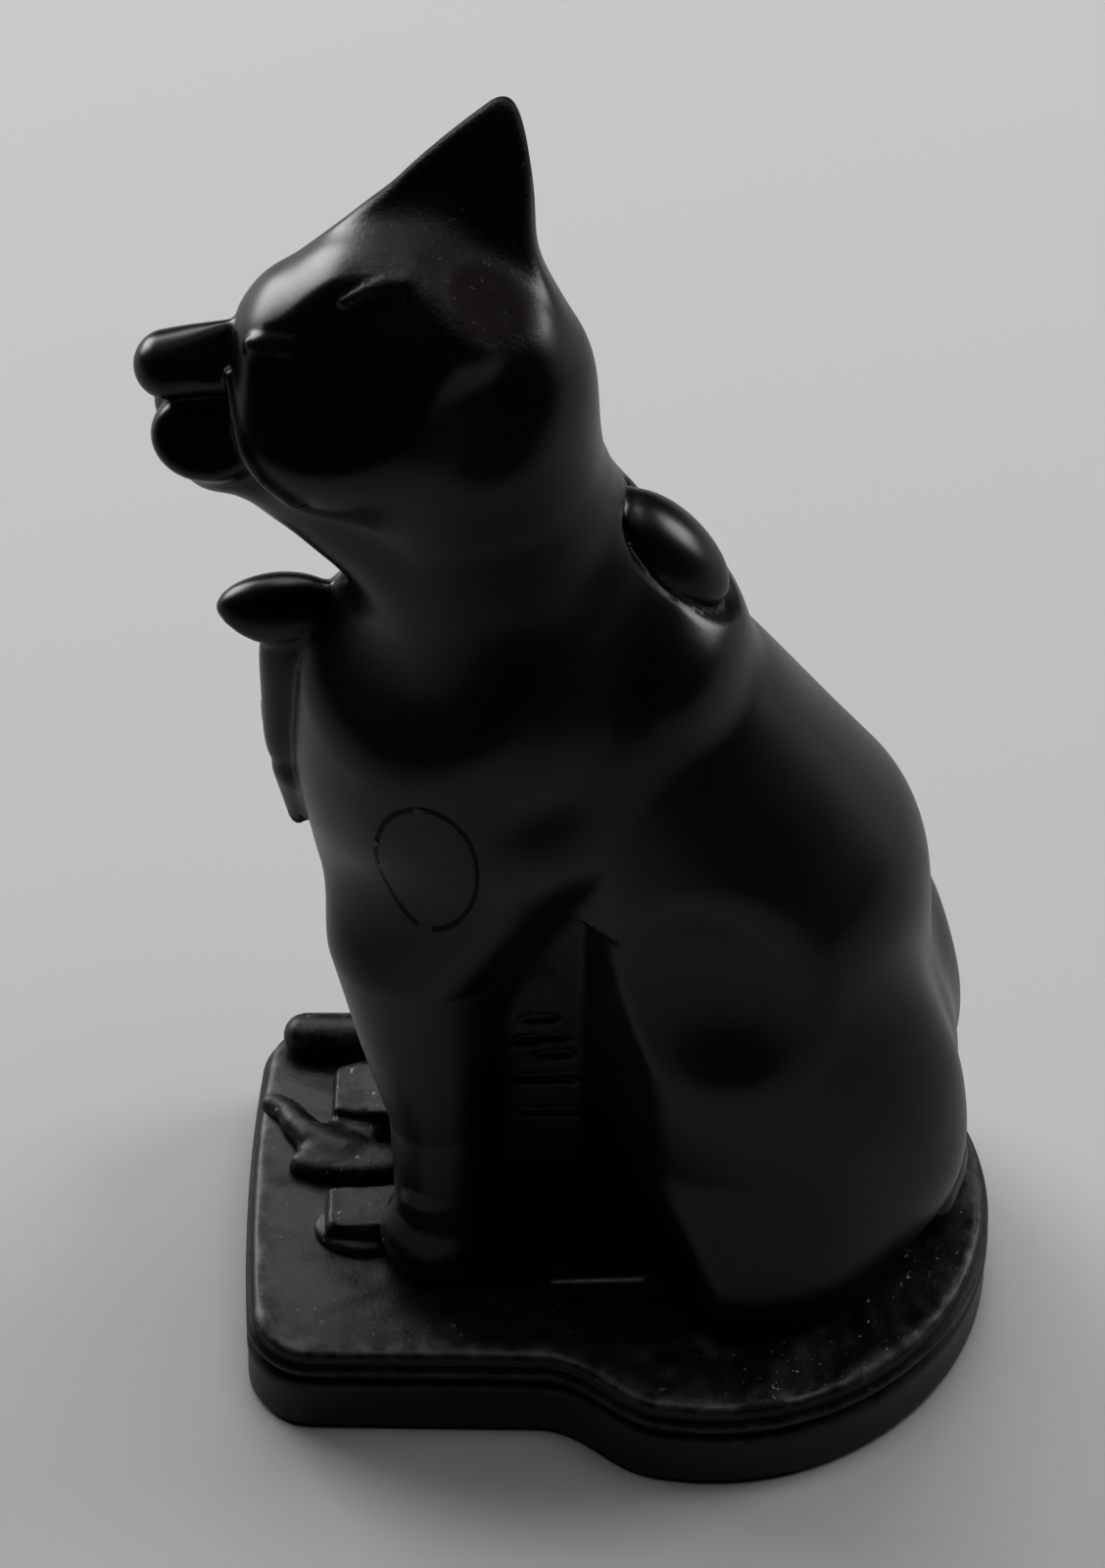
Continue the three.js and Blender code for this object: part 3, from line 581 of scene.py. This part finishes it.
# Regions in mm, each with its sides: the axis, where the side begins and where it is full.
TOES = (0, -18, -26), (2, 9, 4)
CROWN = (0, -27, -22), (2, 122, 126)
PANEL = (0, -14, -12), (0, -2, -6), (1, -12, -10), (1, 12, 10), (2, 0, 4), (2, 58, 54)
PITTED = (0, 2, 14), (1, 6, -6)  # on the plinth's top, behind the cat on its left


def region(points, sides):
    """From 0 outside a region to 1 inside it: the smooth steps of its sides multiplied."""
    return math.prod(smooth_step(points[:, axis], begins, full) for axis, begins, full in sides)


def cat_marks(points, bend):
    """How worn, rough, dusty and warm the cat is from place to place, from 0 to 1.

    Wear is on sharp edges and on the toes. Rough is the largest of the break, the crown, the recessed panel,
    and the creases with the toes. Dust goes with rough and lies on the toes. Warm comes and goes in hills
    26 mm apart towards the back, and is full at the break.
    """
    x, y, z = points.T
    toes, crown, panel = (region(points, sides) for sides in (TOES, CROWN, PANEL))
    worn_edge = smooth_step(bend, 0.35, 1.1)
    crease = smooth_step(bend, -0.25, -1.2)
    broken = smooth_step(np.linalg.norm(points - FRACTURE_MIDDLE, axis=1), 6.5, 3)
    rough = np.maximum.reduce([broken, 0.7 * crown, 0.35 * panel, 0.25 * crease + 0.25 * toes])
    hills = smooth_step(ripple(points, wavelength=26, seed=8), -0.4, 1.6)
    return {
        "wear": 0.6 * worn_edge + 0.3 * toes,
        "rough": rough,
        "dust": 0.15 * rough + 0.5 * toes,
        "warm": np.maximum(hills * smooth_step(x + 0.2 * z, 6, 26), broken),
    }


# The plinth

def arc_points(middle, radius, start, end, count):
    """Points on a circle between two angles in degrees, without the last."""
    angle = np.radians(np.linspace(start, end, count, endpoint=False))
    return np.column_stack([middle[0] + radius * np.cos(angle), middle[1] + radius * np.sin(angle)])


def line_points(start, end, count):
    """Points on a straight line, without the last."""
    t = np.linspace(0, 1, count, endpoint=False)[:, None]
    return np.array(start) * (1 - t) + np.array(end) * t


def curve_points(controls, count):
    """Points on a cubic curve with four controls, without the last."""
    t = np.linspace(0, 1, count, endpoint=False)[:, None]
    a, b, c, d = (np.array(p, float) for p in controls)
    return a * (1 - t) ** 3 + 3 * b * t * (1 - t) ** 2 + 3 * c * t ** 2 * (1 - t) + d * t ** 3


def plinth_outline(sizes, spacing=0.62, waist_angle=11, bow=0.7):
    """The plinth's plan, a keyhole: a round back, an S curve at each side and a narrower square front.

    It runs from the front's far corner round the near side, the back and the far side.
    """
    end = sizes.plinth_length / MM / 2
    side = sizes.front_width / MM / 2
    rear = sizes.plinth_width / MM / 2
    corner = sizes.corner_radius / MM
    centre = end - rear
    angle = math.radians(waist_angle)
    meet = (centre - rear * math.sin(angle), rear * math.cos(angle))
    waist = meet[0] - sizes.waist_length / MM
    pull = 0.42 * sizes.waist_length / MM
    swerve_length = 1.15 * sizes.waist_length / MM
    corner_length, back_length = corner * 1.57, rear * 3.53
    low_corner = (corner - end, corner - side)
    swerve = [(waist, side), (waist + pull, side),
              (meet[0] - pull * math.cos(angle), meet[1] - pull * math.sin(angle)), meet]
    mirrored = [(x, -y) for x, y in swerve]
    front = [(-end, -low_corner[1]), (-end - bow * 4 / 3, -low_corner[1] / 3),
             (-end - bow * 4 / 3, low_corner[1] / 3), (-end, low_corner[1])]
    parts = [
        curve_points(front, int(2 * -low_corner[1] / spacing)),
        arc_points(low_corner, corner, 180, 270, int(corner_length / spacing)),
        line_points((low_corner[0], -side), (waist, -side), int((waist - low_corner[0]) / spacing)),
        curve_points(mirrored, int(swerve_length / spacing)),
        arc_points((centre, 0), rear, -90 - waist_angle, 90 + waist_angle, int(back_length / spacing)),
        curve_points(swerve[::-1], int(swerve_length / spacing)),
        line_points((waist, side), (low_corner[0], side), int((waist - low_corner[0]) / spacing)),
        arc_points((low_corner[0], -low_corner[1]), corner, 90, 180, int(corner_length / spacing)),
    ]
    return np.concatenate(parts)


def plinth_profile(height):
    """The moulding from the underside to the edge of the top: how far in, how high and how worn."""
    foot = [(1.5, 0, 0), (0.7, 0.05, 0.2), (0.2, 0.35, 0.5), (0, 0.9, 0.3)]
    wall = [(0, 2.2, 0), (0.05, 3.6, 0), (0.05, 5, 0), (0, 6.3, 0), (0.02, 7.1, 0.2), (0.2, 7.45, 0.4)]
    groove = [(0.62, 7.7, 0), (0.8, 8, 0), (0.68, 8.3, 0)]
    bead = [(0.3, 8.55, 0.3), (0.14, 8.85, 0.5), (0.14, 9.3, 0.5), (0.3, 9.6, 0.3)]
    second_groove = [(0.68, 9.85, 0), (0.82, 10.15, 0), (0.8, 10.45, 0.1)]
    rim = [(0.86, 10.8, 0.4), (1.1, 11.12, 0.8), (1.5, 11.32, 0.9), (2, 11.4, 0.7), (2.6, 11.4, 0.4)]
    rows = np.array(foot + wall + groove + bead + second_groove + rim)
    rows[:, 1] *= height / PROFILE_HEIGHT
    return rows


def plinth_surface(sizes, top_rings=32):
    """The plinth as points, arrays of faces and marks.

    The outline is carried up the moulding's rows, each set in along the outline's normals. The top goes on
    in rings that shrink evenly to its middle, and the underside is closed the same way in a few rings. The
    top is uneven in hills 7 mm apart with smaller ones between them, most of all where it is pitted.
    """
    outline = plinth_outline(sizes)
    height = sizes.plinth_height / MM
    count = len(outline)
    along = np.roll(outline, -1, 0) - np.roll(outline, 1, 0)
    inward = np.column_stack([-along[:, 1], along[:, 0]])
    inward /= np.linalg.norm(inward, axis=1, keepdims=True)
    profile = plinth_profile(height)
    rows, wear = [], []
    middle = np.array([4.0, 0.0])
    for share in (0.25, 0.6, 0.9):
        inner = middle + (outline + inward * profile[0, 0] - middle) * share
        rows.append(np.column_stack([inner, np.full(count, profile[0, 1])]))
        wear.append(0)
    for inset, z, rub in profile:
        rows.append(np.column_stack([outline + inward * inset, np.full(count, z)]))
        wear.append(rub)
    last = rows[-1][:, :2]
    for share in np.linspace(1, 0, top_rings + 2)[1:-1]:
        rows.append(np.column_stack([middle + (last - middle) * share, np.full(count, height)]))
        wear.append(0.1)
    points = np.concatenate([[[*middle, profile[0, 1]]], *rows, [[*middle, height]]])
    ring = np.arange(count)
    after = np.roll(ring, -1)
    start = 1 + np.arange(len(rows) - 1)[:, None] * count
    here, beside = start + ring, start + after
    quads = np.stack([here, beside, beside + count, here + count], -1).reshape(-1, 4)
    top = 1 + (len(rows) - 1) * count
    low_fan = np.column_stack([np.zeros(count, int), 1 + after, 1 + ring])
    top_fan = np.column_stack([np.full(count, len(points) - 1), top + ring, top + after])
    on_top = points[:, 2] > height - 0.01
    pitted = region(points, PITTED)
    hills = ripple(points, wavelength=7, seed=11) + 0.6 * ripple(points, wavelength=2.6, seed=12)
    points[:, 2] += np.where(on_top, (0.06 + 0.16 * pitted) * hills, 0)
    marks = {
        "wear": 0.6 * np.concatenate([[0], np.repeat(wear, count), [0]]),
        "rough": np.where(on_top, 0.2 + 0.6 * pitted, 0.15),
        "dust": np.where(on_top, 0.15 + 0.5 * pitted, 0.1),
        "warm": np.full(len(points), 0.1),
    }
    return points, [quads, low_fan, top_fan], marks


# Meshes and materials

def check_closed(points, faces):
    """Raises an error unless the faces close a body and face outward.

    They close it where each edge runs one way as often as the other, and face outward where six times the
    volume, the sum over triangles of a corner times the cross product of the other two, is over zero.
    """
    edges = np.concatenate([np.stack([part, np.roll(part, -1, 1)], -1).reshape(-1, 2) for part in faces])
    there = edges[:, 0] * len(points) + edges[:, 1]
    back = edges[:, 1] * len(points) + edges[:, 0]
    if not len(edges) or not np.array_equal(np.sort(there), np.sort(back)):
        raise RuntimeError("The surface isn't closed: make its facets smaller")
    fans = [part[:, [0, i, i + 1]] for part in faces for i in range(1, part.shape[1] - 1)]
    first, second, third = points[np.concatenate(fans)].transpose(1, 0, 2)
    if np.sum(first * np.cross(second, third)) <= 0:
        raise RuntimeError("The surface is inside out")


def casting_mesh(points, faces, marks):
    """A mesh from points in millimetres and arrays of faces, with one attribute for each mark."""
    mesh = bpy.data.meshes.new("cat_casting")
    sizes = np.concatenate([np.full(len(part), part.shape[1]) for part in faces])
    corners = np.concatenate([part.ravel() for part in faces])
    mesh.vertices.add(len(points))
    mesh.vertices.foreach_set("co", (points * MM).astype(np.float32).ravel())
    mesh.loops.add(len(corners))
    mesh.loops.foreach_set("vertex_index", corners.astype(np.int32))
    mesh.polygons.add(len(sizes))
    mesh.polygons.foreach_set("loop_start", np.concatenate([[0], np.cumsum(sizes)[:-1]]).astype(np.int32))
    mesh.update(calc_edges=True)
    mesh.polygons.foreach_set("use_smooth", np.ones(len(sizes), bool))
    for mark, values in marks.items():
        mesh.attributes.new(mark, "FLOAT", "POINT").data.foreach_set("value", values.astype(np.float32))
    return mesh


def add_node(tree, kind, inputs=None, links=None, **settings):
    """Adds a node, sets its settings and input values, and links its inputs from other nodes' outputs."""
    node = tree.nodes.new(kind)
    for key, value in settings.items():
        setattr(node, key, value)
    for key, value in (inputs or {}).items():
        node.inputs[key].default_value = value
    for key, socket in (links or {}).items():
        tree.links.new(socket, node.inputs[key])
    return node


def new_material(name):
    """An empty node material with its output."""
    material = bpy.data.materials.new(name)
    material.use_nodes = True
    material.node_tree.nodes.clear()
    return material, material.node_tree


def resin_material(colours):
    """Polyester resin filled with stone powder, cast black and rubbed to a satin polish.

    The polish gives the eye broad soft reflections on near-black, rubbed edges go grey and thin places
    brown, and the filler shows as fine pale grains where the surface is pitted.
    """
    material, tree = new_material("black_filled_resin")
    place = add_node(tree, "ShaderNodeTexCoord").outputs["Object"]
    wear, rough, dust, warm = (
        add_node(tree, "ShaderNodeAttribute", attribute_name=name).outputs["Fac"]
        for name in ("wear", "rough", "dust", "warm"))
    cloud, patch, grit, grain = (
        add_node(tree, "ShaderNodeTexNoise",
                 {"Scale": 1 / (size * MM), "Detail": detail, "Roughness": roughness},
                 {"Vector": place}).outputs["Fac"]
        for size, detail, roughness in RESIN_NOISES)

    # Colour: brown in patches where it is warm, then grey where it is rubbed, then grains of powder
    browned = add_node(tree, "ShaderNodeMapRange", {"From Min": 0.35, "From Max": 0.75}, {"Value": patch})
    brown_share = add_node(tree, "ShaderNodeMath", operation="MULTIPLY",
                           links={0: warm, 1: browned.outputs["Result"]})
    brown = add_node(tree, "ShaderNodeMix", {"A": colours.resin, "B": colours.warm},
                     {"Factor": brown_share.outputs[0]}, data_type="RGBA")
    rub_patch = add_node(tree, "ShaderNodeMapRange", {"From Min": 0.42, "From Max": 0.62},
                         {"Value": patch})
    rubbed_share = add_node(tree, "ShaderNodeMath", operation="MULTIPLY",
                            links={0: wear, 1: rub_patch.outputs["Result"]})
    rubbed = add_node(tree, "ShaderNodeMix", {"B": colours.rubbed},
                      {"Factor": rubbed_share.outputs[0], "A": brown.outputs["Result"]}, data_type="RGBA")
    speck = add_node(tree, "ShaderNodeMapRange", {"From Min": 0.68, "From Max": 0.75}, {"Value": grain})
    speck_share = add_node(tree, "ShaderNodeMath", operation="MULTIPLY",
                           links={0: speck.outputs["Result"], 1: dust})
    colour = add_node(tree, "ShaderNodeMix", {"B": colours.dust},
                      {"Factor": speck_share.outputs[0], "A": rubbed.outputs["Result"]}, data_type="RGBA")
    ring = scratched_ring(tree, place)
    browned_ring = add_node(tree, "ShaderNodeMix", {"B": colours.warm},
                            {"Factor": ring, "A": colour.outputs["Result"]}, data_type="RGBA")

    # Roughness: a cloudy polish, duller where it is rough or worn
    polish = add_node(tree, "ShaderNodeMapRange", {"To Min": 0.26, "To Max": 0.36}, {"Value": cloud})
    dulled = add_node(tree, "ShaderNodeMath", operation="MULTIPLY_ADD", inputs={1: 0.35},
                      links={0: rough, 2: polish.outputs["Result"]})
    dulled_more = add_node(tree, "ShaderNodeMath", operation="MULTIPLY_ADD", inputs={1: 0.2},
                           links={0: wear, 2: dulled.outputs[0]})

    # Relief: the scratched groove, and grit that stands higher where it is rough
    uneven = add_node(tree, "ShaderNodeMath", operation="MULTIPLY_ADD", inputs={1: 0.12},
                      links={0: patch, 2: grit})
    grit_height = add_node(tree, "ShaderNodeMath", operation="MULTIPLY_ADD", inputs={1: 1.2, 2: 0.05},
                           links={0: rough})
    groove = add_node(tree, "ShaderNodeBump", {"Distance": SCRATCH_DEPTH * MM, "Strength": 1.0},
                      {"Height": ring}, invert=True)
    relief = add_node(tree, "ShaderNodeBump", {"Distance": GRIT_DEPTH * MM},
                      {"Height": uneven.outputs[0], "Strength": grit_height.outputs[0],
                       "Normal": groove.outputs[0]})

    # Shine: less of it where the resin is broken, pitted or scratched
    matt = add_node(tree, "ShaderNodeMath", links={0: rough, 1: ring}, operation="MAXIMUM")
    shine = add_node(tree, "ShaderNodeMapRange", {"To Min": 0.5, "To Max": 0.15},
                     {"Value": matt.outputs[0]})
    surface = add_node(tree, "ShaderNodeBsdfPrincipled", {"IOR": 1.5, "Metallic": 0},
                       {"Base Color": browned_ring.outputs["Result"], "Roughness": dulled_more.outputs[0],
                        "Specular IOR Level": shine.outputs["Result"], "Normal": relief.outputs[0]})
    add_node(tree, "ShaderNodeOutputMaterial", links={"Surface": surface.outputs[0]})
    return material


def scratched_ring(tree, place):
    """A ring scratched on the left shoulder: one on its line and zero elsewhere, and broken in places.

    The line is where a place's offset from the ring's middle, divided by the ring's half sizes, is one long.
    The offset across the figure counts for little, and the far side lies beyond the line.
    """
    middle, half = RING
    offset = add_node(tree, "ShaderNodeVectorMath", {1: [c * MM for c in middle]}, {0: place},
                      operation="SUBTRACT")
    scaled = add_node(tree, "ShaderNodeVectorMath", {1: [1 / (c * MM) for c in half]},
                      {0: offset.outputs[0]}, operation="MULTIPLY")
    length = add_node(tree, "ShaderNodeVectorMath", links={0: scaled.outputs[0]}, operation="LENGTH")
    line = add_node(tree, "ShaderNodeMath", {1: 1.0, 2: SCRATCH_HALF_WIDTH},
                    {0: length.outputs["Value"]}, operation="COMPARE")
    gaps = add_node(tree, "ShaderNodeTexNoise", {"Scale": 1 / (SCRATCH_GAPS * MM), "Detail": 1},
                    {"Vector": place})
    kept = add_node(tree, "ShaderNodeMapRange", {"From Min": 0.3, "From Max": 0.38},
                    {"Value": gaps.outputs["Fac"]})
    return add_node(tree, "ShaderNodeMath", operation="MULTIPLY",
                    links={0: line.outputs[0], 1: kept.outputs["Result"]}).outputs[0]


def floor_material(colours):
    """Matt pale card, which gives the eye an even ground and a soft shadow.

    Shade is painted into its colour, darker towards the camera's side, below the picture, as a floor darkens
    away from the windows.
    """
    material, tree = new_material("pale_card_painted_shade")
    place = add_node(tree, "ShaderNodeTexCoord").outputs["Object"]
    across = add_node(tree, "ShaderNodeSeparateXYZ", links={"Vector": place}).outputs["Y"]
    # painted shade: how much of the dark floor colour is mixed in, from none to full along Y
    share = add_node(tree, "ShaderNodeMapRange",
                     {"From Min": FLOOR_SHADE_BEGINS, "From Max": FLOOR_SHADE_FULL}, {"Value": across},
                     interpolation_type="SMOOTHSTEP")
    colour = add_node(tree, "ShaderNodeMix", {"A": colours.floor, "B": linear(FLOOR_SHADE)},
                      {"Factor": share.outputs["Result"]}, data_type="RGBA")
    surface = add_node(tree, "ShaderNodeBsdfPrincipled", {"Roughness": 0.9},
                       {"Base Color": colour.outputs["Result"]})
    add_node(tree, "ShaderNodeOutputMaterial", links={"Surface": surface.outputs[0]})
    return material


def black_card_material():
    """Black felt, which keeps light off the camera's side."""
    material, tree = new_material("black_felt")
    surface = add_node(tree, "ShaderNodeBsdfPrincipled", {"Base Color": linear(FELT), "Roughness": 1})
    add_node(tree, "ShaderNodeOutputMaterial", links={"Surface": surface.outputs[0]})
    return material


def put_in_scene(name, mesh, material):
    """An object at the origin with its mesh and material."""
    mesh.materials.append(material)
    piece = bpy.data.objects.new(name, mesh)
    bpy.context.scene.collection.objects.link(piece)
    return piece


class CatCasting(bpy.types.Operator):
    """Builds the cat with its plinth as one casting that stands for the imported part"""

    bl_idname = "seated_cat.casting"
    bl_label = "Cat and plinth"

    def execute(self, context):
        sizes, colours = context.scene.casting_sizes, context.scene.casting_colours
        base = sizes.plinth_height / MM
        unit = (sizes.total_height / MM - base) / CAT_HEIGHT
        forms = trunk_forms() + leg_forms() + head_forms() + ornament_forms()
        field = field_of(forms, floor=-CAT_SUNK)
        coarser = 1
        facets = sizes.body_facet / MM * coarser, sizes.head_facet / MM * coarser
        cat, cat_faces = surface_of(field, Lattice(*facets, bottom=LATTICE_BOTTOM))
        facing = slope_of(field, cat, reach=0.15)
        plinth, plinth_faces, plinth_marks = plinth_surface(sizes)
        check_closed(cat, [cat_faces])
        check_closed(plinth, plinth_faces)
        points = np.concatenate([cat * unit + [0, 0, base], plinth])
        faces = [cat_faces] + [part + len(cat) for part in plinth_faces]
        marks = {name: np.concatenate([values, plinth_marks[name]])
                 for name, values in cat_marks(cat, bend_of(field, cat)).items()}
        mesh = casting_mesh(points, faces, marks)
        normals = np.concatenate([facing, np.zeros_like(plinth)])
        mesh.normals_split_custom_set_from_vertices(normals.tolist())
        piece = put_in_scene("cat_casting", mesh, resin_material(colours))
        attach(piece, "root")
        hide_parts(NODE)
        return {"FINISHED"}


class CatStage(bpy.types.Operator):
    """Adds the pale floor, the soft lights and the camera at the viewing angle of the photograph"""

    bl_idname = "seated_cat.stage"
    bl_label = "Floor, lights and camera"

    def execute(self, context):
        colours = context.scene.casting_colours
        floor = put_in_scene("studio_floor", disc_mesh(FLOOR_RADIUS), floor_material(colours))
        card = put_in_scene("black_card", card_mesh(), black_card_material())
        for name, (at, size, power) in SOFTBOXES.items():
            add_softbox(name, at, size, power)
        world = bpy.data.worlds.new("dim_room")
        world.use_nodes = True
        background = world.node_tree.nodes["Background"]
        background.inputs["Color"].default_value = linear(ROOM_COLOUR)
        background.inputs["Strength"].default_value = ROOM_STRENGTH
        context.scene.world = world
        context.scene.view_settings.view_transform = "Standard"
        context.scene.view_settings.look = "High Contrast"
        add_camera()
        return {"FINISHED"}


def disc_mesh(radius, count=96):
    """A flat round floor at zero height."""
    angle = np.linspace(0, 2 * math.pi, count, endpoint=False)
    mesh = bpy.data.meshes.new("studio_floor")
    points = np.column_stack([radius * np.cos(angle), radius * np.sin(angle), np.zeros(count)])
    mesh.from_pydata(points.tolist(), [], [list(range(count))])
    return mesh


def card_mesh():
    """A flat card behind the camera, square to its line of sight."""
    behind = camera_turn() @ Vector((0, 0, 1))
    middle = CAMERA_AT + behind * CARD_BEHIND
    side = Vector((1, 0, 0)) * CARD_HALF[0]
    up = behind.cross(side).normalized() * CARD_HALF[1]
    mesh = bpy.data.meshes.new("black_card")
    corners = [middle - side - up, middle + side - up, middle + side + up, middle - side + up]
    mesh.from_pydata([list(c) for c in corners], [], [[0, 1, 2, 3]])
    return mesh


def add_softbox(name, at, size, power):
    """A rectangular area light at a place in metres that faces the figure."""
    light = bpy.data.lights.new(name, "AREA")
    light.shape = "RECTANGLE"
    light.size, light.size_y = size
    light.energy = power
    box = bpy.data.objects.new(name, light)
    box.location = at
    box.rotation_euler = (LIGHTS_FACE - Vector(at)).to_track_quat("-Z", "Y").to_euler()
    bpy.context.scene.collection.objects.link(box)


def camera_turn():
    """The camera's rotation: it looks along +Y and down, and is rolled a little."""
    down = Matrix.Rotation(math.radians(90 - CAMERA_ELEVATION), 3, "X")
    return down @ Matrix.Rotation(math.radians(CAMERA_ROLL), 3, "Z")


def add_camera():
    """The camera at the photograph's place, angle and field of view."""
    data = bpy.data.cameras.new("camera")
    data.lens = CAMERA_LENS
    data.sensor_width = CAMERA_SENSOR
    camera = bpy.data.objects.new("camera", data)
    camera.matrix_world = Matrix.Translation(CAMERA_AT) @ camera_turn().to_4x4()
    bpy.context.scene.collection.objects.link(camera)
    bpy.context.scene.camera = camera


class CatPanel(bpy.types.Panel):
    """Lists the casting's sizes and colours, and the operators that build it"""

    bl_idname = "VIEW3D_PT_seated_cat"
    bl_label = "Seated cat"
    bl_space_type = "VIEW_3D"
    bl_region_type = "UI"
    bl_category = "Seated cat"

    def draw(self, context):
        for settings in (context.scene.casting_sizes, context.scene.casting_colours):
            for name in settings.__annotations__:
                self.layout.prop(settings, name)
        for operator in (CatCasting, CatStage):
            self.layout.operator(operator.bl_idname)


CLASSES = (CastingSizes, CastingColours, CatCasting, CatStage, CatPanel)


def register():
    for kind in CLASSES:
        bpy.utils.register_class(kind)
    bpy.types.Scene.casting_sizes = bpy.props.PointerProperty(type=CastingSizes)
    bpy.types.Scene.casting_colours = bpy.props.PointerProperty(type=CastingColours)


def unregister():
    del bpy.types.Scene.casting_colours
    del bpy.types.Scene.casting_sizes
    for kind in reversed(CLASSES):
        bpy.utils.unregister_class(kind)


def main():
    register()
    bpy.ops.seated_cat.casting()
    bpy.ops.seated_cat.stage()


if __name__ == "__main__":
    main()
